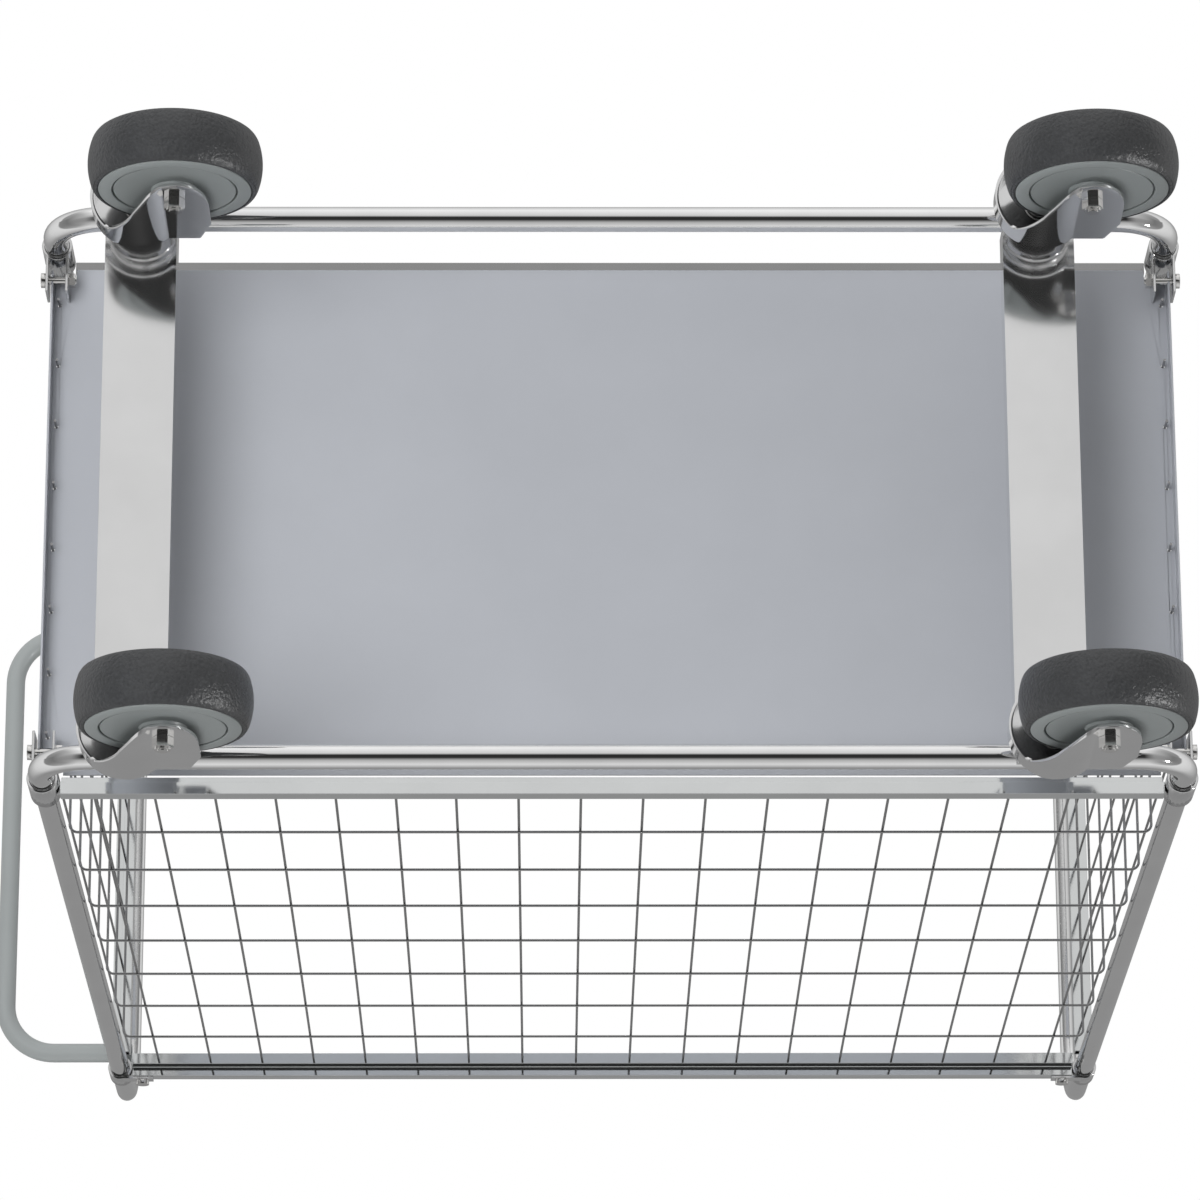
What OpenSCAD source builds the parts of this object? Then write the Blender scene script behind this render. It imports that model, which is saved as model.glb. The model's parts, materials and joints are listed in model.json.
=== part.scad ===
// Four-castor trolley with a tube frame, wire mesh sides and a push handle.
// +Z up, +X travel direction away from the handle, origin on the floor below the middle of the outer box.

/* [Frame] */
// Half the distance between the upright axes along X
upright_x = 409.5; // [380:0.5:430]
// Half the distance between the upright axes along Y
upright_y = 206; // [190:0.5:220]
// Outside diameter of the upright tube
upright_od = 16; // [14:0.1:20]
// Wall of the upright tube
upright_wall = 1.5; // [1:0.1:3]
// Height of the top tube axis above the floor
frame_top_z = 1190; // [1100:1:1250]
// Centre-line radius of the top bends
frame_bend_r = 58; // [40:1:80]
// Outside diameter of the lower rail tube
rail_od = 18.2; // [17:0.1:22]
// Height of the lower rail axis above the floor
rail_z = 175; // [160:1:190]
// Centre-line radius of the lower rail bends
rail_bend_r = 40; // [30:1:60]
// Height of the upturned rail end
rail_end_z = 238; // [220:1:245]
// Depth the upright is plugged into the rail end
plug_depth = 21; // [10:1:22]

/* [Cross members] */
// Width of the channel along X
cross_w = 52; // [40:1:70]
// Sheet thickness of the channel
cross_t = 2.2; // [1.5:0.1:3]
// Height of the channel flanges
cross_h = 26; // [15:1:35]
// Height of the channel underside above the floor
cross_z = 163.4; // [150:0.1:170]
// Position of the cross member nearer the handle
cross_x_back = -343; // [-360:1:-300]
// Position of the cross member at the front
cross_x_front = 311; // [280:1:330]

/* [Tray] */
// Height of the tray underside above the floor
tray_z = 250; // [240:1:260]
// Tray sheet thickness
tray_t = 1.5; // [1:0.1:3]
// Half length of the tray
tray_x = 414; // [400:0.5:420]
// Half width of the tray
tray_y = 196.4; // [180:0.1:200]
// Depth of the end flanges
tray_flange = 15; // [10:1:20]

/* [Mesh panels] */
// Wire diameter
wire_d = 2; // [1.6:0.1:4]
// Height of the middle horizontal wire
wire_mid_z = 654; // [640:1:670]
// Vertical pitch of the horizontal wires
wire_pitch_z = 98.7; // [80:0.1:120]
// Pitch of the outer upright wires in the long panels
long_pitch = 43.7; // [35:0.1:50]
// Pitch of the three middle gaps in the long panels
long_mid_pitch = 45.3; // [35:0.1:50]
// Pitch of the upright wires in the end panels
end_pitch = 48; // [40:0.5:60]
// Lower tips of the end panel wires below the tray
end_wire_z = 237; // [225:1:245]
// Half distance between the end panel horizontals along X
ring_x = 399.6; // [395:0.1:402]
// Corner radius of the end panel horizontals
ring_r = 6; // [4:1:12]
// Width of one step of the panel rail section
step_w = 9.1; // [6:0.1:12]
// Height of one step of the panel rail section
step_h = 13; // [8:0.1:20]
// Wall of the panel rails
step_t = 1.2; // [0.8:0.1:2]
// Height of the underside of the bottom panel rail
panel_low_z = 240.4; // [235:0.1:250]
// Height of the bottom rail of the fixed long panel
back_rail_h = 6.4; // [5:0.1:12]
// Height of the top of the upper panel rail
panel_high_z = 1068; // [1050:0.1:1090]

/* [Handle] */
// Outside diameter of the handle tube
handle_od = 16; // [14:0.5:25]
// Height of the handle axis above the floor
handle_z = 1081; // [1000:1:1150]
// Distance of the grip axis from the trolley middle
handle_x = 510; // [480:1:560]
// Half distance between the handle legs
handle_y = 187; // [170:0.5:190]
// Centre-line radius of the handle bends
handle_bend_r = 42; // [30:1:60]

/* [Castors] */
// Wheel diameter
wheel_d = 125; // [100:1:160]
// Tyre width
tyre_w = 44; // [30:1:50]
// Radius of the rounded tread across the tyre
crown_r = 44; // [36:1:80]
// Diameter of the hub rim
hub_d = 110; // [90:1:120]
// Distance of the castor planes from the middle
castor_y = 201; // [190:1:215]
// Castor trail from swivel axis to wheel axle
trail = 30.5; // [20:0.5:45]
// Sheet thickness of the fork
fork_t = 2.5; // [2:0.1:4]
// Gap between the inner faces of the fork legs
fork_gap = 48; // [42:1:56]
// Radius of the round fork crown
crown_disc_r = 34.4; // [30:0.1:40]
// Height of the fork crown top above the floor
crown_z = 136.5; // [130:0.5:145]
// Axle diameter
axle_d = 8; // [6:0.5:12]

/* [Hidden] */
$fn = 64;
fit = 0.05;
front_reach = upright_x + 12.9;
handle_reach = handle_x + handle_od / 2;
x_shift = (handle_reach - front_reach) / 2;
axle_z = wheel_d / 2;
ends = [-1, 1];
castors = [
    [cross_x_front, castor_y], [cross_x_front, -castor_y],
    [cross_x_back, castor_y], [cross_x_back, -castor_y]
];

// Straight tube along +Z from the origin.
module tube(l, od, id) {
    difference() {
        cylinder(h = l, d = od);
        translate([0, 0, -1]) cylinder(h = l + 2, d = id);
    }
}

// Quarter tube bend about Z, starting on +X.
module bend(r, od, id) {
    rotate_extrude(angle = 90)
        translate([r, 0])
            difference() {
                circle(d = od);
                circle(d = id);
            }
}

// U tube in the XY plane, open towards +Y, legs at x = +-half_w, web axis at y = 0.
module u_tube(half_w, leg, r, od, id) {
    translate([-half_w + r, 0, 0]) rotate([0, 90, 0]) tube(2 * (half_w - r), od, id);
    for (s = ends)
        translate([s * half_w, r, 0]) rotate([-90, 0, 0]) tube(leg - r, od, id);
    translate([half_w - r, r, 0]) rotate([0, 0, -90]) bend(r, od, id);
    translate([-half_w + r, r, 0]) rotate([0, 0, 180]) bend(r, od, id);
}

module lower_rail(side) {
    color("silver")
        translate([x_shift, side * upright_y, rail_z])
            rotate([90, 0, 0])
                u_tube(upright_x, rail_end_z - rail_z, rail_bend_r, rail_od, upright_od + 2 * fit);
}

module end_frame(side) {
    bottom = rail_end_z - plug_depth;
    color("silver")
        translate([x_shift + side * upright_x, 0, frame_top_z])
            rotate([-90, 0, 90])
                u_tube(upright_y, frame_top_z - bottom, frame_bend_r,
                    upright_od, upright_od - 2 * upright_wall);
}

module cross_member(x) {
    inner_y = upright_y - rail_od / 2 - 1;
    color("gainsboro")
        translate([x_shift + x, 0, cross_z]) {
            translate([-cross_w / 2, -upright_y - rail_od / 2, 0])
                cube([cross_w, 2 * upright_y + rail_od, cross_t]);
            for (s = ends)
                translate([s * (cross_w - cross_t) / 2 - cross_t / 2, -inner_y, 0])
                    cube([cross_t, 2 * inner_y, cross_h]);
        }
}

module tray() {
    notch_x = upright_x - 13;
    notch_y = 190;
    color("lightsteelblue")
        translate([x_shift, 0, tray_z])
            difference() {
                union() {
                    translate([-tray_x, -tray_y, 0]) cube([2 * tray_x, 2 * tray_y, tray_t]);
                    for (s = ends)
                        translate([s * (tray_x - tray_t / 2) - tray_t / 2, -notch_y, -tray_flange])
                            cube([tray_t, 2 * notch_y, tray_flange + tray_t]);
                }
                for (sx = ends, sy = ends)
                    translate([sx * (notch_x + 20) - 20, sy * (notch_y + 10) - 10, -1])
                        cube([40, 20, tray_t + 2]);
                for (sx = ends, i = [-3.5 : 3.5])
                    translate([sx * (upright_x - 1.1), i * end_pitch, -1])
                        cylinder(h = tray_t + 2, d = wire_d + 0.8);
                for (sx = ends, sy = ends)
                    translate([sx * tray_x - 5, sy * 183, -12])
                        rotate([0, 90, 0])
                            cylinder(h = 10, d = 6.6);
            }
}

// Stepped hollow section: outer step at the origin, inner step above it and towards -X.
module step_section() {
    difference() {
        union() {
            translate([-step_w, 0]) square([step_w, step_h]);
            translate([-step_w - 7.4, step_h]) square([step_w, step_h - 1]);
        }
        translate([-step_w + step_t, step_t]) square([step_w - 2 * step_t, step_h - 2 * step_t]);
        translate([-step_w - 7.4 + step_t, step_h + step_t])
            square([step_w - 2 * step_t, step_h - 1 - 2 * step_t]);
    }
}

// Panel rail along +-X, centred, with its outer face on y = 0 and its outer step at z = 0.
module step_rail(half_l, hole_x) {
    difference() {
        translate([-half_l, 0, 0])
            rotate([90, 0, 90])
                linear_extrude(2 * half_l)
                    step_section();
        for (s = ends)
            translate([s * hole_x, 1, step_h / 2])
                rotate([90, 0, 0])
                    cylinder(h = step_w + 2, d = 6.6);
    }
}

module panel_rail(side, top) {
    color("silver")
        translate([x_shift, side * (upright_y + 7.5), top ? panel_high_z : panel_low_z])
            mirror([0, side < 0 ? 1 : 0, 0])
                mirror([0, 0, top ? 1 : 0])
                    step_rail(top ? upright_x - 10.6 : upright_x - 11.6, top ? 390.5 : 1000);
}

// Plain box rail under the fixed long panel.
module back_sill() {
    half_l = upright_x - 11.6;
    color("silver")
        translate([x_shift - half_l, -upright_y - 0.1, panel_low_z + 2 * step_h - 1 - back_rail_h])
            difference() {
                cube([2 * half_l, step_w, back_rail_h]);
                translate([-1, step_t, step_t])
                    cube([2 * half_l + 2, step_w - 2 * step_t, back_rail_h - 2 * step_t]);
            }
}

module end_rail(side) {
    color("silver")
        translate([x_shift + side * (upright_x + 7.5), 0, panel_high_z])
            mirror([side < 0 ? 1 : 0, 0, 0])
                mirror([0, 0, 1])
                    rotate([0, 0, -90])
                        mirror([1, 0, 0])
                            end_rail_profile(side < 0);
}

// End rail along its local X; the rear one is drilled for the handle screws.
module end_rail_profile(drilled) {
    half_l = upright_y - 10.4;
    difference() {
        translate([-half_l, 0, 0])
            rotate([90, 0, 90])
                linear_extrude(2 * half_l)
                    step_section();
        if (drilled)
            for (s = ends)
                translate([s * handle_y, -step_w / 2, -1])
                    cylinder(h = step_t + 2, d = 6.4);
    }
}

module wire(l) {
    cylinder(h = l, d = wire_d, $fn = 24);
}

function long_wire_x(i) = i <= 2 ? long_mid_pitch * (i + 0.5)
    : long_mid_pitch * 2.5 + long_pitch * (i - 2);

module long_mesh(side) {
    low = panel_low_z + 2 * step_h - 1;
    high = panel_high_z - 2 * step_h + 1;
    color("gray")
        translate([x_shift, 0, 0]) {
            for (s = ends, i = [0 : 8])
                translate([s * long_wire_x(i), side * (upright_y - 1.1), low + fit])
                    wire(high - low - 2 * fit);
            for (k = [-3 : 3])
                translate([ring_r - ring_x, side * (upright_y - 1.1 + wire_d + fit),
                    wire_mid_z + k * wire_pitch_z])
                    rotate([0, 90, 0])
                        wire(2 * (ring_x - ring_r));
        }
}

// One end panel horizontal with its two rounded corners, in the XY plane.
module end_wire(half_l) {
    translate([0, half_l - ring_r, 0]) rotate([90, 0, 0]) wire(2 * (half_l - ring_r));
    for (s = ends)
        translate([-ring_r, s * (half_l - ring_r), 0])
            mirror([0, s < 0 ? 1 : 0, 0])
                rotate_extrude(angle = 90)
                    translate([ring_r, 0])
                        circle(d = wire_d, $fn = 24);
}

module end_mesh(side) {
    high = panel_high_z - 2 * step_h + 1;
    color("gray")
        translate([x_shift, 0, 0]) {
            for (i = [-3.5 : 3.5])
                translate([side * (upright_x - 1.1), i * end_pitch, end_wire_z])
                    wire(high - end_wire_z - fit);
            for (k = [-3 : 3])
                translate([side * ring_x, 0, wire_mid_z + k * wire_pitch_z])
                    mirror([side < 0 ? 1 : 0, 0, 0])
                        end_wire(upright_y - 1.1 + wire_d + fit);
        }
}

// Corner clamp round the upturned rail end: split ring with two lugs towards the short side's middle.
module clamp_low(sx, sy) {
    ring_id = rail_od + 0.2;
    ring_od = ring_id + 4;
    lug = 36;
    color("silver")
        translate([x_shift + sx * upright_x, sy * upright_y, 226])
            mirror([sx < 0 ? 1 : 0, 0, 0])
                mirror([0, sy < 0 ? 1 : 0, 0])
                    difference() {
                        union() {
                            cylinder(h = 36, d = ring_od);
                            translate([6, -lug, 0]) cube([2, lug, 23.5]);
                            translate([-8.6, -lug, 0]) cube([2, lug, 23.5]);
                        }
                        translate([0, 0, -1]) cylinder(h = 38, d = ring_id);
                        translate([-20, 183 - upright_y, 12])
                            rotate([0, 90, 0])
                                cylinder(h = 40, d = 6.4);
                    }
}

// Upper clamp round the upright: ring with two lugs that hold the end of the long panel's top rail.
module clamp_top(sx, sy) {
    ring_id = upright_od + 0.2;
    ring_od = ring_id + 4;
    lug = 28;
    color("silver")
        translate([x_shift + sx * upright_x, sy * upright_y, 1056])
            mirror([sx < 0 ? 1 : 0, 0, 0])
                mirror([0, sy < 0 ? 1 : 0, 0])
                    difference() {
                        union() {
                            cylinder(h = 24, d = ring_od);
                            translate([-lug, 7.8, 0]) cube([lug, 1.9, 11]);
                            translate([-lug, -4.6, 0]) cube([lug, 1.9, 11]);
                        }
                        translate([0, 0, -1]) cylinder(h = 26, d = ring_id);
                        translate([390.5 - upright_x, -20, 5.5])
                            rotate([-90, 0, 0])
                                cylinder(h = 40, d = 6.4);
                    }
}

// Cap-headed screw along +Z with its nut, head underside at the origin, nut face at grip.
module screw(d, grip) {
    translate([0, 0, -4]) cylinder(h = 4, d = 2 * d - 1);
    cylinder(h = grip + 5.5, d = d);
    translate([0, 0, grip]) cylinder(h = 4.5, d = 1.8 * d, $fn = 6);
}

// Tapping screw along +Z, head underside at the origin.
module tapping_screw(d, l) {
    translate([0, 0, -4]) cylinder(h = 4, d = 2 * d - 1);
    cylinder(h = l, d = d);
}

module clamp_bolts() {
    color("dimgray")
        translate([x_shift, 0, 0])
            for (sx = ends, sy = ends) {
                translate([sx * (upright_x + 8.1), sy * 183, 238])
                    rotate([0, sx * -90, 0])
                        screw(6, 16.8);
                translate([sx * 390.5, sy * (upright_y + 9.8), 1061.5])
                    rotate([sy * 90, 0, 0])
                        screw(6, 14.5);
            }
}

module handle() {
    leg = handle_x - upright_x + 8;
    color("lightgray")
        difference() {
            translate([x_shift - handle_x, 0, handle_z])
                rotate([0, 0, -90])
                    u_tube(handle_y, leg, handle_bend_r, handle_od, handle_od - 3);
            for (s = ends)
                translate([x_shift - upright_x - 7.5 + step_w / 2, s * handle_y, handle_z - 20])
                    cylinder(h = 40, d = 6.4);
        }
}

// Screws that hold the handle legs on the rear end rail, with their spacer collars.
module handle_bolts() {
    gap = handle_z - handle_od / 2 - panel_high_z;
    color("dimgray")
        for (s = ends)
            translate([x_shift - upright_x - 7.5 + step_w / 2, s * handle_y, 0]) {
                translate([0, 0, handle_z + handle_od / 2])
                    rotate([180, 0, 0])
                        tapping_screw(6, handle_od + gap + 8);
                translate([0, 0, panel_high_z + fit])
                    difference() {
                        cylinder(h = gap - 2 * fit, d = 12);
                        translate([0, 0, -1]) cylinder(h = gap + 2, d = 5);
                    }
            }
}

module at_castor(i) {
    translate([x_shift + castors[i][0], castors[i][1], 0]) children();
}

// Ball-race housing fixed under the cross member.
module castor_head(i) {
    color("silver")
        at_castor(i)
            rotate_extrude()
                difference() {
                    union() {
                        translate([12, crown_z + 0.5]) square([9, 26.4]);
                        translate([20, crown_z + 8]) circle(d = 12);
                        translate([12, crown_z + 12]) square([13.5, 14.9]);
                    }
                    translate([0, 0]) square([12, 200]);
                    translate([0, crown_z - 20]) square([40, 20.5]);
                }
}

module kingpin(i) {
    color("gray")
        at_castor(i)
            rotate_extrude()
                union() {
                    translate([0, crown_z - 6.5]) square([11, 3.5]);
                    translate([0, crown_z - 6.5]) square([8, 30]);
                    translate([0, crown_z + 10]) square([12 - fit, 13.5]);
                }
}

// Side outline of a fork leg, x from the swivel axis, y = height.
module leg_outline() {
    polygon([
        [-24, crown_z], [-26, crown_z - 12], [-20, 117], [-10, 109], [0, 94], [6, 80],
        [12, 62], [17, 49], [24, 41], [32, 38.5], [40, 40.5], [47, 47], [52, 58],
        [54.3, 75], [54.5, 107], [45, crown_z]
    ]);
}

module fork(i) {
    half = fork_gap / 2 + fork_t;
    color("silver")
        at_castor(i)
            difference() {
                union() {
                    for (s = ends)
                        translate([0, s * (half - fork_t / 2) + fork_t / 2, 0])
                            rotate([90, 0, 0])
                                linear_extrude(fork_t)
                                    leg_outline();
                    translate([0, 0, crown_z - fork_t]) {
                        cylinder(h = fork_t, r = crown_disc_r);
                        translate([0, -half, 0]) cube([45, 2 * half, fork_t]);
                    }
                    difference() {
                        translate([0, 0, crown_z - 18]) cylinder(h = 18, r = crown_disc_r);
                        translate([0, 0, crown_z - 19]) cylinder(h = 20, r = crown_disc_r - fork_t);
                        translate([-8, -50, crown_z - 21]) cube([60, 100, 22]);
                    }
                }
                translate([0, 0, crown_z - 8]) cylinder(h = 16, d = 16 + 2 * fit);
                translate([trail, 50, axle_z])
                    rotate([90, 0, 0])
                        cylinder(h = 100, d = axle_d + 0.1);
            }
}

// Axle stud with a domed lock nut on each end.
module axle(i) {
    half = fork_gap / 2 + fork_t;
    color("dimgray")
        at_castor(i)
            translate([trail, 0, axle_z])
                rotate([90, 0, 0]) {
                    translate([0, 0, -half - 10]) cylinder(h = 2 * half + 20, d = axle_d);
                    for (s = ends)
                        mirror([0, 0, s < 0 ? 1 : 0])
                            translate([0, 0, half + 0.1]) {
                                cylinder(h = 7.5, d = 15, $fn = 6);
                                cylinder(h = 9, d = 12);
                            }
                }
}

module at_wheel(i) {
    at_castor(i)
        translate([trail, 0, axle_z])
            rotate([90, 0, 0])
                children();
}

// Tyre band with a rounded tread and a step on each side for the hub rim.
module tyre(i) {
    color("dimgray")
        at_wheel(i)
            rotate_extrude()
                difference() {
                    intersection() {
                        translate([wheel_d / 2 - crown_r, 0]) circle(r = crown_r);
                        translate([hub_d / 2 - 3, -tyre_w / 2]) square([30, tyre_w]);
                    }
                    for (s = ends)
                        translate([hub_d / 2 - 4, s * tyre_w / 2 - 2])
                            square([4, 4]);
                }
}

// Hub disc with a rim that the tyre closes round, a groove on each face and a centre bore.
module hub(i) {
    rim_r = hub_d / 2 - fit;
    core_r = hub_d / 2 - 3 - fit;
    groove_r = 44;
    groove_w = 1.2;
    color("darkgray")
        at_wheel(i)
            rotate_extrude()
                difference() {
                    union() {
                        translate([10, -tyre_w / 2 + 0.8]) square([core_r - 10, tyre_w - 1.6]);
                        for (s = ends)
                            translate([groove_r, s * (tyre_w / 2 - 1 + fit / 2) - 1 + fit / 2])
                                square([rim_r - groove_r, 2 - fit]);
                    }
                    for (s = ends)
                        translate([groove_r, s * (tyre_w / 2) - 2.5])
                            square([groove_w, 5]);
                }
}

module bush(i) {
    color("white")
        at_wheel(i)
            translate([0, 0, -tyre_w / 2 - 1])
                difference() {
                    cylinder(h = tyre_w + 2, r = 10 - fit);
                    translate([0, 0, -1]) cylinder(h = tyre_w + 4, d = axle_d + 2 * fit);
                }
}

lower_rail(1);  // lower_rail_front
lower_rail(-1);  // lower_rail_back
end_frame(-1);  // end_frame_rear
end_frame(1);  // end_frame_fore
cross_member(cross_x_back);  // cross_member_rear
cross_member(cross_x_front);  // cross_member_fore
tray();
panel_rail(1, false);  // panel_rail_low_front
back_sill();  // panel_rail_low_back
panel_rail(1, true);  // panel_rail_top_front
panel_rail(-1, true);  // panel_rail_top_back
end_rail(-1);  // end_rail_rear
end_rail(1);  // end_rail_fore
long_mesh(1);  // mesh_front
long_mesh(-1);  // mesh_back
end_mesh(-1);  // mesh_rear
end_mesh(1);  // mesh_fore
clamp_low(1, 1);  // clamp_low_1
clamp_low(1, -1);  // clamp_low_2
clamp_low(-1, 1);  // clamp_low_3
clamp_low(-1, -1);  // clamp_low_4
clamp_top(1, 1);  // clamp_top_1
clamp_top(1, -1);  // clamp_top_2
clamp_top(-1, 1);  // clamp_top_3
clamp_top(-1, -1);  // clamp_top_4
clamp_bolts();
handle();
handle_bolts();
castor_head(0);  // castor_head_1
kingpin(0);  // kingpin_1
fork(0);  // fork_1
axle(0);  // axle_1
tyre(0);  // tyre_1
hub(0);  // hub_1
bush(0);  // bush_1
castor_head(1);  // castor_head_2
kingpin(1);  // kingpin_2
fork(1);  // fork_2
axle(1);  // axle_2
tyre(1);  // tyre_2
hub(1);  // hub_2
bush(1);  // bush_2
castor_head(2);  // castor_head_3
kingpin(2);  // kingpin_3
fork(2);  // fork_3
axle(2);  // axle_3
tyre(2);  // tyre_3
hub(2);  // hub_3
bush(2);  // bush_3
castor_head(3);  // castor_head_4
kingpin(3);  // kingpin_4
fork(3);  // fork_4
axle(3);  // axle_4
tyre(3);  // tyre_4
hub(3);  // hub_4
bush(3);  // bush_4
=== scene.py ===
"""Looks for the mesh-sided trolley.

Materials for every piece, castor pieces with more form than the CAD, the stage, the light and the camera.
"""
import json
import math

import bmesh
import bpy
from mathutils import Matrix, Vector


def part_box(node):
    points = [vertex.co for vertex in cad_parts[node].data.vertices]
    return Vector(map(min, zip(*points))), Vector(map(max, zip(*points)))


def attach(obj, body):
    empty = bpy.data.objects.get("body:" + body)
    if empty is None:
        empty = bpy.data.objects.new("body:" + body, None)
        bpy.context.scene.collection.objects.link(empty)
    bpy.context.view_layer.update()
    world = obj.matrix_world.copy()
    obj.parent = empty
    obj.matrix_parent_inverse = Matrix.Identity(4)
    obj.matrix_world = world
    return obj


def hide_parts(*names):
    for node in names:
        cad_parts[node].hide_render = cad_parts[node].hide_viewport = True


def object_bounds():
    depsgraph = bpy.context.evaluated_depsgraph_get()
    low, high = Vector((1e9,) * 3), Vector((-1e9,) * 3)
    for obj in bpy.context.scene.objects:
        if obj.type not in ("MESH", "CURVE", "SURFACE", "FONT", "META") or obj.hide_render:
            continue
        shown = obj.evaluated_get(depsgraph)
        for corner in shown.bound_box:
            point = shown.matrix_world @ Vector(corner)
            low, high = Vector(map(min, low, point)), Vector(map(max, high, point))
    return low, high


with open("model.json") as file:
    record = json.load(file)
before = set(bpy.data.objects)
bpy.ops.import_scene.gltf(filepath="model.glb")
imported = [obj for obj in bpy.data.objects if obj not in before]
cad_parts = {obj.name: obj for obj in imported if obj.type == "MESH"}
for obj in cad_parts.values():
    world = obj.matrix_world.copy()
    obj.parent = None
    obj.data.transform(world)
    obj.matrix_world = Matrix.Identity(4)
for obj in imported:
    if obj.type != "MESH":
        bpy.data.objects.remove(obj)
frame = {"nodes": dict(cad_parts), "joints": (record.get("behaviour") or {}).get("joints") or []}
cad_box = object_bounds()
NODES = frame["nodes"]
JOINTS = {j["name"]: j for j in frame["joints"]}
MM = 0.001


# ---------------------------------------------------------------- materials
class Graph:
    """Short-hand for building a node tree."""

    def __init__(self, tree):
        self.tree = tree
        tree.nodes.clear()

    def add(self, kind, **sockets):
        n = self.tree.nodes.new(kind)
        for key, value in sockets.items():
            if key.startswith("_"):
                setattr(n, key[1:], value)
            else:
                self.put(n, key.replace("_", " "), value)
        return n

    def put(self, n, name, value):
        sock = n.inputs[name]
        if isinstance(value, bpy.types.NodeSocket):
            self.tree.links.new(value, sock)
        else:
            sock.default_value = value

    def ramp(self, fac, *stops):
        """Straight-line colour ramp; a stop is (place, grey) or (place, (red, green, blue))."""
        n = self.tree.nodes.new("ShaderNodeValToRGB")
        el = n.color_ramp.elements
        while len(el) < len(stops):
            el.new(0.5)
        for e, (pos, col) in zip(el, stops):
            e.position = pos
            e.color = (*col, 1) if isinstance(col, tuple) else (col, col, col, 1)
        self.tree.links.new(fac, n.inputs[0])
        return n.outputs[0]

    def math(self, op, a, b=0.0, clamp=False):
        n = self.tree.nodes.new("ShaderNodeMath")
        n.operation = op
        n.use_clamp = clamp
        for i, v in enumerate((a, b)):
            if isinstance(v, bpy.types.NodeSocket):
                self.tree.links.new(v, n.inputs[i])
            else:
                n.inputs[i].default_value = v
        return n.outputs[0]


def new_material(name):
    m = bpy.data.materials.new(name)
    m.use_nodes = True
    return m, Graph(m.node_tree)


def noise(g, where, scale, detail=3.0, rough=0.5):
    return g.add("ShaderNodeTexNoise", Vector=where, Scale=scale, Detail=detail, Roughness=rough)


def finish_material(g, bsdf, height=None, strength=0.1, distance=0.0002):
    if height is not None:
        bump = g.add("ShaderNodeBump", Strength=strength, Distance=distance, Height=height)
        g.put(bsdf, "Normal", bump.outputs[0])
    g.add("ShaderNodeOutputMaterial", Surface=bsdf.outputs[0])


WEAR = 0.03
SMEAR = 0.05


def metal(name, tone, rough, grain, fleck=0.0, stretch=(1, 1, 1), tint=(1, 1, 1)):
    """Plated or galvanised steel: soft tone patches, fine grain in the roughness and small flecks."""
    m, g = new_material(name)
    co = g.add("ShaderNodeTexCoord").outputs["Object"]
    mp = g.add("ShaderNodeMapping", Vector=co, Scale=stretch).outputs[0]
    patch = noise(g, co, 14.0, 4.0, 0.55).outputs[0]
    fine = noise(g, mp, grain, 3.0, 0.6).outputs[0]
    lo = tuple(tone * (1 - WEAR) * t for t in tint)
    hi = tuple(min(1.0, tone * (1 + WEAR)) * t for t in tint)
    col = g.ramp(patch, (0.35, lo), (0.68, hi))
    r = g.math("ADD", g.math("MULTIPLY", g.math("SUBTRACT", fine, 0.5), SMEAR), rough)
    r = g.math("ADD", r, g.math("MULTIPLY", g.math("SUBTRACT", patch, 0.5), SMEAR))
    if fleck:
        vor = g.add("ShaderNodeTexVoronoi", Vector=co, Scale=420.0)
        spot = g.ramp(vor.outputs["Distance"], (0.0, 1.0), (0.14, 0.0))
        keep = g.ramp(noise(g, co, 60.0, 2.0).outputs[0], (0.50, 0.0), (0.60, 1.0))
        amount = g.math("MULTIPLY", spot, keep)
        r = g.math("ADD", r, g.math("MULTIPLY", amount, fleck))
    r = g.math("MAXIMUM", r, 0.02, clamp=True)
    bsdf = g.add("ShaderNodeBsdfPrincipled", Base_Color=col, Metallic=1.0, Roughness=r)
    finish_material(g, bsdf, fine, 0.02, 0.00005)
    return m


def coated(name, colour, rough, peel, bump, soil):
    """Powder coat or plastic: slight colour drift, an orange-peel bump and rub marks in the gloss."""
    m, g = new_material(name)
    co = g.add("ShaderNodeTexCoord").outputs["Object"]
    drift = noise(g, co, 6.0, 4.0, 0.6).outputs[0]
    skin = noise(g, co, peel, 2.0, 0.5).outputs[0]
    lo = tuple(c * (1 - soil) for c in colour)
    hi = tuple(min(1.0, c * (1 + soil)) for c in colour)
    col = g.ramp(drift, (0.3, lo), (0.7, hi))
    streaks = g.add("ShaderNodeMapping", Vector=co, Scale=(3, 30, 3)).outputs[0]
    rub = noise(g, streaks, 12.0, 4.0, 0.6).outputs[0]
    r = g.math("ADD", rough, g.math("MULTIPLY", g.math("SUBTRACT", rub, 0.5), 0.18), clamp=True)
    bsdf = g.add("ShaderNodeBsdfPrincipled", Base_Color=col, Roughness=r, Metallic=0.0)
    bsdf.inputs["Specular IOR Level"].default_value = 0.5
    finish_material(g, bsdf, skin, bump, 0.00012)
    return m


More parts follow.
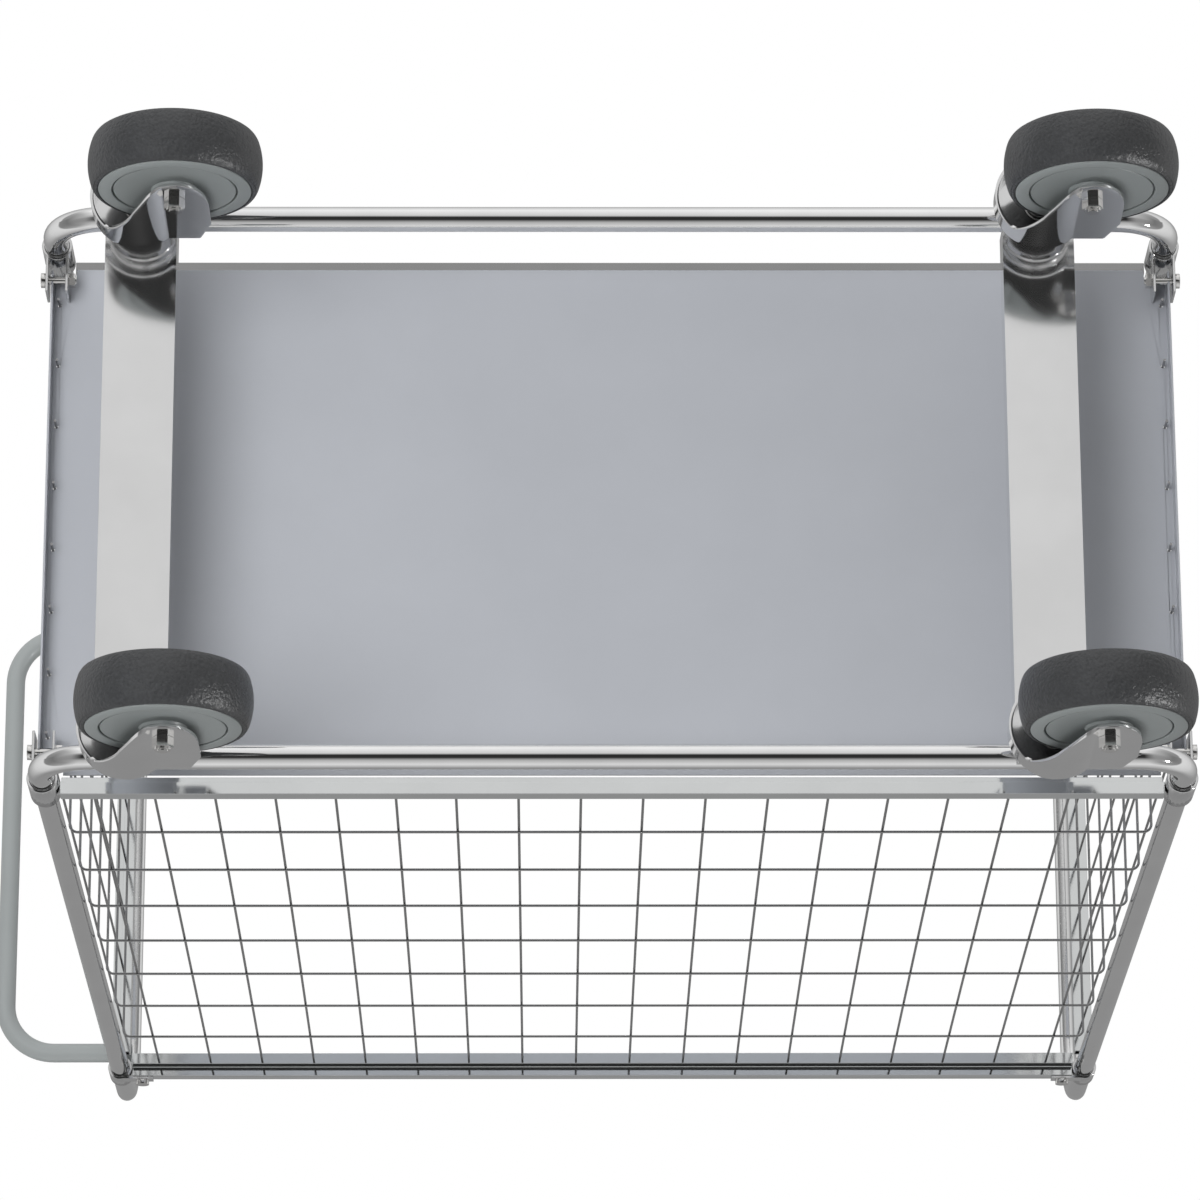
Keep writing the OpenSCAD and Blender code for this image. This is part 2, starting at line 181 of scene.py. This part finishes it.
def tyre_rubber(name):
    """Dark grey rubber with a leathery moulded grain, painted shade in the grain's pits, and dusty patches.
    """
    m, g = new_material(name)
    co = g.add("ShaderNodeTexCoord").outputs["Object"]
    warp = noise(g, co, 150.0, 2.0).outputs["Color"]
    mixed = g.add("ShaderNodeMix", _data_type="VECTOR")
    mixed.inputs[0].default_value = 0.004
    g.tree.links.new(co, mixed.inputs[4])
    g.tree.links.new(warp, mixed.inputs[5])
    cells = g.add("ShaderNodeTexVoronoi", Vector=mixed.outputs[1], Scale=380.0, _feature="SMOOTH_F1")
    cell = cells.outputs["Distance"]
    pebble = noise(g, co, 520.0, 3.0, 0.55).outputs[0]
    height = g.math("ADD", g.math("MULTIPLY", cell, 0.9), g.math("MULTIPLY", pebble, 0.9))
    dust = noise(g, co, 18.0, 5.0, 0.6).outputs[0]
    tone = g.ramp(dust, (0.3, (0.030, 0.031, 0.033)), (0.75, (0.044, 0.046, 0.049)))
    # The colour is darker where the grain's bump is low: painted shade in the pits of the grain.
    pit_shade = g.ramp(pebble, (0.35, 0.72), (0.62, 1.0))
    col = g.add("ShaderNodeMix", _data_type="RGBA", _blend_type="MULTIPLY")
    col.inputs[0].default_value = 1.0
    g.tree.links.new(tone, col.inputs[6])
    g.tree.links.new(pit_shade, col.inputs[7])
    r = g.math("ADD", 0.30, g.math("MULTIPLY", dust, 0.16))
    bsdf = g.add("ShaderNodeBsdfPrincipled", Base_Color=col.outputs[2], Roughness=r)
    bsdf.inputs["Specular IOR Level"].default_value = 0.6
    finish_material(g, bsdf, height, 1.0, 0.0006)
    return m


MAT = {
    "chrome_tube": metal("chrome_tube_look", 0.84, 0.055, 900.0, stretch=(0.3, 1, 1)),
    "upright": metal("upright_look", 0.82, 0.10, 900.0, stretch=(1, 1, 0.3)),
    "galvanised": metal(
        "galvanised_look", 0.82, 0.07, 700.0, fleck=0.10, stretch=(0.25, 1, 1), tint=(0.98, 1, 1)
    ),
    "cross": metal("cross_look", 0.83, 0.10, 700.0, fleck=0.16, stretch=(1, 0.25, 1)),
    # A darker copy of the galvanised finish for the back low rail: painted shade standing in for the shade
    # that falls on that rail.
    "sill": metal("sill_look", 0.34, 0.12, 700.0, fleck=0.10, stretch=(0.25, 1, 1)),
    "wire": metal("wire_look", 0.34, 0.16, 1200.0),
    "fastener": metal("fastener_look", 0.74, 0.13, 1100.0, tint=(1, 0.99, 0.97)),
    "clamp": metal("clamp_look", 0.74, 0.12, 900.0),
    "castor_plate": metal("castor_plate_look", 0.80, 0.10, 700.0),
    "fork": metal("fork_look", 0.80, 0.10, 800.0, fleck=0.08),
    "tray": coated("tray_look", (0.41, 0.426, 0.462), 0.42, 700.0, 0.07, 0.03),
    "handle_paint": coated("handle_look", (0.345, 0.368, 0.368), 0.38, 1100.0, 0.08, 0.03),
    "hub": coated("hub_look", (0.262, 0.284, 0.284), 0.42, 800.0, 0.06, 0.04),
    "bush": coated("bush_look", (0.62, 0.62, 0.60), 0.45, 900.0, 0.05, 0.04),
    "tyre": tyre_rubber("tyre_look"),
}


# ---------------------------------------------------------------- mesh helpers
def make_object(name, bm, material, smooth_angle=40):
    mesh = bpy.data.meshes.new(name)
    bmesh.ops.recalc_face_normals(bm, faces=bm.faces)
    bm.to_mesh(mesh)
    bm.free()
    mesh.materials.append(material)
    o = bpy.data.objects.new(name, mesh)
    bpy.context.scene.collection.objects.link(o)
    for p in mesh.polygons:
        p.use_smooth = True
    mesh.set_sharp_from_angle(angle=math.radians(smooth_angle))
    return o


def lathe(profile, segments=128):
    """Surface of revolution about +Y from (radius, y) pairs in millimetres; the profile is a closed loop."""
    bm = bmesh.new()
    rings = []
    for k in range(segments):
        a = 2 * math.pi * k / segments
        rings.append([bm.verts.new((r * math.cos(a) * MM, y * MM, r * math.sin(a) * MM)) for r, y in profile])
    n = len(profile)
    for k in range(segments):
        p, q = rings[k], rings[(k + 1) % segments]
        for i in range(n):
            j = (i + 1) % n
            bm.faces.new((p[i], p[j], q[j], q[i]))
    return bm


def arc(cx, cy, r, a0, a1, steps):
    """Points on an arc from a0 to a1 degrees."""
    angles = [math.radians(a0 + (a1 - a0) * k / steps) for k in range(steps + 1)]
    return [(cx + r * math.cos(a), cy + r * math.sin(a)) for a in angles]


def catmull_rom(a, b, c, d, t):
    """Value between b and c at t, with a and d as their neighbours."""
    return 0.5 * (
        (2 * b) + (c - a) * t + (2 * a - 5 * b + 4 * c - d) * t * t + (3 * b - a - 3 * c + d) * t**3
    )


def smooth_curve(points, per_span):
    """Catmull-Rom curve through the points."""
    out = []
    ext = [points[0]] + list(points) + [points[-1]]
    for i in range(1, len(ext) - 2):
        spans = list(zip(*ext[i - 1 : i + 3]))
        for k in range(per_span):
            out.append(tuple(catmull_rom(*span, k / per_span) for span in spans))
    out.append(tuple(points[-1]))
    return out


# ---------------------------------------------------------------- castor pieces
def tyre_piece(i, centre):
    """Barrel-shaped tread, full shoulders, a fine moulded edge and a lip that closes on the hub."""
    top, drop, flat, round_r = 62.4, 96.0, 15.0, 11.0
    crown = [(top - y * y / drop, y) for y in range(0, int(flat) + 1)]
    lean = math.atan(2 * flat / drop)
    cx, cy = crown[-1][0] - round_r * math.cos(lean), flat - round_r * math.sin(lean)
    shoulder = arc(cx, cy, round_r, math.degrees(lean), 41, 8)[1:]
    side = [(57.55, 18.75), (57.35, 18.9), (57.1, 19.25), (56.6, 19.75), (55.9, 20.0), (55.3, 19.95)]
    lip = [(54.95, 19.7), (54.75, 19.3), (53.6, 19.0), (52.3, 18.9)]
    right = crown[1:] + shoulder + side + lip
    profile = [(r, -y) for r, y in reversed(right)] + [crown[0]] + right
    o = make_object(f"tyre_form_{i}", lathe(profile, 160), MAT["tyre"], 32)
    o.location = centre
    return o


def hub_piece(i, centre):
    """Grey plastic disc: flat rim, dark groove, shallow cone running into the boss."""
    side = [
        (10.05, 17.0), (10.05, 21.3), (10.8, 21.9), (15.2, 21.9), (16.2, 21.3), (17.0, 19.4),
        (24.0, 18.6), (34.0, 19.4), (42.2, 19.9), (43.3, 19.9), (43.65, 19.5), (43.7, 17.0),
        (44.8, 17.0), (44.85, 19.9), (45.3, 20.4), (53.5, 20.4), (54.3, 19.9), (54.5, 19.4),
        (53.3, 18.9), (51.9, 18.7),
    ]
    profile = side + [(r, -y) for r, y in reversed(side)]
    o = make_object(f"hub_form_{i}", lathe(profile, 144), MAT["hub"], 35)
    o.location = centre
    return o


# Fork sheet, in millimetres: outer face of a leg at its foot, and radius of the nose at its foot.
LEG_Y = 26.45
NOSE_R = 33.0
# Height where the walls start to lean out, and the share of the lean that they have below it.
FLARE_Z = 60.0
UPRIGHT = 0.75
# Height of the lowest point of the nose's edge, and how far its edge climbs towards the front.
NOSE_Z = 75.5
NOSE_RISE = 41.5
# Rounding of the crown's edge, radius of the hole for the kingpin, and sheet thickness.
FILLET = 2.0
BORE_R = 8.4
SHEET = 2.4
# Where along the legs the top edge leaves the crown, and how steeply it drops from there.
SLOPE_X = 44.5
SLOPE = 2.95
# Rows of points up the wall, round the edge and across the crown, and columns round the nose.
WALL_ROWS = 14
EDGE_ROWS = 6
CROWN_ROWS = 4
NOSE_STEPS = 36


def fork_piece(i, swivel, box):
    """One pressed sheet: S-shaped legs, a round nose, and a round crown with the kingpin's hole."""
    lo, hi = box
    disc = (hi.y - lo.y) / 2 / MM - 0.05
    top = hi.z / MM
    lower = smooth_curve([
        (0, NOSE_Z), (4, 66.5), (8, 58), (12, 50.5), (16.5, 45), (22, 41.5), (29, 38.9), (36, 39.2),
        (43, 43), (48.5, 50), (52, 59), (53.9, 70), (54.4, 80),
    ], 5)

    def leg(x, z, sign):
        wide = math.sqrt(max(disc * disc - x * x, 0))
        limit = top if x < SLOPE_X else top - (x - SLOPE_X) * SLOPE
        return Vector((x, 0, 0)), Vector((0, sign, 0)), LEG_Y, max(LEG_Y, wide), z, limit

    def nose(a):
        foot = min(LEG_Y / max(abs(math.cos(a)), 0.01), NOSE_R)
        z = NOSE_Z + NOSE_RISE * min(1.0, math.sin(a) * 1.55) ** 0.8
        return Vector((0, 0, 0)), Vector((-math.sin(a), math.cos(a), 0)), foot, disc, z, top

    columns = [leg(x, z, 1) for x, z in reversed(lower)]
    columns += [nose(math.pi * k / NOSE_STEPS) for k in range(1, NOSE_STEPS)]
    columns += [leg(x, z, -1) for x, z in lower]
    bm = bmesh.new()
    grid = []
    for base, out, foot, wide, z_low, limit in columns:
        rim = limit < top
        rise = limit if rim else top - FILLET
        col = []
        for k in range(WALL_ROWS + 1):
            z = z_low + (rise - z_low) * k / WALL_ROWS
            t = UPRIGHT + (1 - UPRIGHT) * min(max((z - FLARE_Z) / (top - FILLET - FLARE_Z), 0), 1)
            col.append(base + out * (foot + (wide - foot) * t) + Vector((0, 0, z)))
        for k in range(1, EDGE_ROWS + 1):
            t = math.radians(90 * k / EDGE_ROWS)
            inset, up = FILLET * (1 - math.cos(t)), FILLET * math.sin(t)
            col.append(base + out * (wide - inset) + Vector((0, 0, rise + up)))
        bore = math.sqrt(max(BORE_R * BORE_R - base.x * base.x, 0))
        for k in range(1, CROWN_ROWS + 1):
            reach = (wide - FILLET) + (bore - (wide - FILLET)) * k / CROWN_ROWS
            col.append(base + out * reach + Vector((0, 0, top)))
        if rim:
            # Behind the crown the wall ends in a free edge, so the rows above it fold onto that edge.
            col[WALL_ROWS + 1 :] = [col[WALL_ROWS].copy() for _ in range(EDGE_ROWS + CROWN_ROWS)]
        grid.append([bm.verts.new(v * MM) for v in col])
    for a, b in zip(grid, grid[1:]):
        for k in range(len(a) - 1):
            bm.faces.new((a[k], a[k + 1], b[k + 1], b[k]))
    bmesh.ops.remove_doubles(bm, verts=bm.verts, dist=0.00002)
    bmesh.ops.dissolve_degenerate(bm, edges=bm.edges, dist=0.00001)
    o = make_object(f"fork_form_{i}", bm, MAT["fork"], 50)
    o.location = Vector((swivel[0], swivel[1], 0))
    sheet = o.modifiers.new("sheet", "SOLIDIFY")
    sheet.thickness = SHEET * MM
    sheet.offset = -1
    sheet.use_even_offset = True
    edge = o.modifiers.new("edge", "BEVEL")
    edge.width = 0.5 * MM
    edge.segments = 2
    edge.limit_method = "ANGLE"
    edge.angle_limit = math.radians(50)
    return o


for i in range(1, 5):
    spin = Vector(JOINTS[f"spin_{i}"]["pos_m"])
    swivel = JOINTS[f"swivel_{i}"]["pos_m"]
    t = tyre_piece(i, spin)
    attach(t, f"wheel_{i}")
    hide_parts(f"tyre_{i}")
    h = hub_piece(i, spin)
    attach(h, f"wheel_{i}")
    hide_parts(f"hub_{i}")
    f = fork_piece(i, swivel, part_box(f"fork_{i}"))
    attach(f, f"swivel_{i}")
    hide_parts(f"fork_{i}")


# ---------------------------------------------------------------- CAD pieces: finishes and softened edges
# Start of a node's name, its material, and the bevel on its edges in millimetres. The first match counts.
LOOK = (
    ("lower_rail", "chrome_tube", 0),
    ("end_frame", "upright", 0),
    ("cross_member", "cross", 0.5),
    ("tray", "tray", 0.35),
    # The back low rail takes the darker copy of the galvanised finish, which paints shade on it.
    ("panel_rail_low_back", "sill", 0.35),
    ("panel_rail", "galvanised", 0.35),
    ("end_rail", "galvanised", 0.35),
    ("mesh", "wire", 0),
    ("clamp_bolts", "fastener", 0.35),
    ("clamp_", "clamp", 0.45),
    ("handle_bolts", "fastener", 0.3),
    ("handle", "handle_paint", 0),
    ("castor_head", "castor_plate", 0),
    ("kingpin", "fastener", 0.4),
    ("fork", "fork", 0),
    ("axle", "fastener", 0.35),
    ("tyre", "tyre", 0),
    ("hub", "hub", 0),
    ("bush", "bush", 0.3),
)
for name, o in NODES.items():
    look, soften = next((m, width) for prefix, m, width in LOOK if name.startswith(prefix))
    o.data.materials.clear()
    o.data.materials.append(MAT[look])
    if soften and not o.hide_render:
        weld = o.modifiers.new("weld", "WELD")
        weld.merge_threshold = 0.00001
        edge = o.modifiers.new("edge", "BEVEL")
        edge.width = soften * MM
        edge.segments = 2
        edge.limit_method = "ANGLE"
        edge.angle_limit = math.radians(40)
        edge.harden_normals = True

# ---------------------------------------------------------------- stage, light and camera
lo, hi = cad_box
mid = (lo + hi) / 2


def stage_floor():
    """Pale floor seen from above only, so that a view from below looks past it."""
    bm = bmesh.new()
    bmesh.ops.create_grid(bm, x_segments=2, y_segments=2, size=12.0)
    m, g = new_material("floor_look")
    path = g.add("ShaderNodeLightPath").outputs["Is Camera Ray"]
    back = g.add("ShaderNodeNewGeometry").outputs["Backfacing"]
    show = g.math("MULTIPLY", path, g.math("SUBTRACT", 1.0, back))
    tone = noise(g, g.add("ShaderNodeTexCoord").outputs["Object"], 3.0).outputs[0]
    pale = g.add("ShaderNodeBsdfDiffuse", Color=g.ramp(tone, (0.3, 0.925), (0.7, 0.935)))
    mix = g.add("ShaderNodeMixShader")
    g.tree.links.new(show, mix.inputs[0])
    g.tree.links.new(g.add("ShaderNodeBsdfTransparent").outputs[0], mix.inputs[1])
    g.tree.links.new(pale.outputs[0], mix.inputs[2])
    g.add("ShaderNodeOutputMaterial", Surface=mix.outputs[0])
    o = make_object("floor", bm, m)
    for p in o.data.polygons:
        p.use_smooth = False
    o.location = (mid.x, mid.y, -0.0005)


stage_floor()

world = bpy.data.worlds.new("studio")
bpy.context.scene.world = world
world.use_nodes = True
g = Graph(world.node_tree)
direction = g.add("ShaderNodeTexCoord").outputs["Generated"]
sep = g.add("ShaderNodeSeparateXYZ", Vector=direction)
# Studio brightness round the X axis, in degrees from straight down and positive towards +Y: dim ceiling,
# light rear wall, dark gap below the floor, front wall, and the ceiling again.
STUDIO_ROUND = (
    (-180, 0.3), (-150, 0.3), (-70, 1.0), (-15, 0.7), (0, 0.03),
    (25, 0.03), (50, 0.5), (90, 0.8), (140, 0.3), (180, 0.3),
)
down = g.math("MULTIPLY", sep.outputs[2], -1.0)
turn = g.math("DIVIDE", g.math("ARCTAN2", sep.outputs[1], down), 2 * math.pi)
round_stops = [(degrees / 360 + 0.5, level) for degrees, level in STUDIO_ROUND]
around = g.ramp(g.math("ADD", turn, 0.5), *round_stops)
# Directions well to either side see end walls instead, dark below a horizon and light above it.
side = g.math("ABSOLUTE", sep.outputs[0])
sides = g.ramp(side, (0.36, 0.0), (0.62, 0.7), (0.95, 1.0))
height = g.math("ADD", g.math("MULTIPLY", sep.outputs[2], 0.5), 0.5)
walls = g.ramp(height, (0.10, 0.45), (0.36, 0.20), (0.515, 0.26), (0.545, 0.80), (0.75, 0.74), (0.95, 0.36))
blend = g.add("ShaderNodeMix", _data_type="RGBA")
g.tree.links.new(sides, blend.inputs[0])
g.tree.links.new(around, blend.inputs[6])
g.tree.links.new(walls, blend.inputs[7])
studio = g.add("ShaderNodeBackground", Color=blend.outputs[2], Strength=1.0)
plain = g.add("ShaderNodeBackground", Color=(1, 1, 1, 1), Strength=1.0)
pick = g.add("ShaderNodeMixShader")
g.tree.links.new(g.add("ShaderNodeLightPath").outputs["Is Camera Ray"], pick.inputs[0])
g.tree.links.new(studio.outputs[0], pick.inputs[1])
g.tree.links.new(plain.outputs[0], pick.inputs[2])
g.add("ShaderNodeOutputWorld", Surface=pick.outputs[0])


def area_light(name, place, target, size, power, glossy=True, diffuse=True):
    data = bpy.data.lights.new(name, "AREA")
    data.shape = "DISK"
    data.size = size
    data.energy = power
    o = bpy.data.objects.new(name, data)
    bpy.context.scene.collection.objects.link(o)
    o.location = place
    o.rotation_mode = "QUATERNION"
    o.rotation_quaternion = (target - place).to_track_quat("-Z", "Y")
    o.visible_glossy = glossy
    o.visible_diffuse = diffuse
    o.visible_camera = False


area_light("under_soft", mid + Vector((-1.2, 0.4, -3.0)), mid, 2.0, 60, glossy=False)
area_light("side_soft", mid + Vector((-1.0, 3.2, -0.4)), mid, 2.4, 20, glossy=False)
area_light("back_soft", mid + Vector((-0.6, -3.1, -1.1)), mid, 2.4, 26, glossy=False)
area_light("top_soft", mid + Vector((0.6, -0.8, 3.2)), mid, 2.6, 85, glossy=False)
wheels = mid + Vector((0, 0, -0.5))
area_light("tyre_glint", mid + Vector((2.8, 1.5, -1.35)), wheels, 0.28, 55, diffuse=False)

# The camera is below and in front of the trolley and looks up at the tray.
cam_data = bpy.data.cameras.new("camera")
cam_data.lens = 179.0
cam_data.sensor_width = 36
cam_data.clip_end = 50
cam = bpy.data.objects.new("camera", cam_data)
bpy.context.scene.collection.objects.link(cam)
eye = Vector((mid.x, mid.y + 1.473, lo.z - 3.867))
aim = Vector((mid.x + 0.040, mid.y + 0.047, lo.z + 0.296))
back = (eye - aim).normalized()
up = back.cross(Vector((1, 0, 0))).normalized()
right = up.cross(back)
cam.matrix_world = Matrix.Translation(eye) @ Matrix((right, up, back)).transposed().to_4x4()
bpy.context.scene.camera = cam
bpy.context.scene.view_settings.view_transform = "Standard"
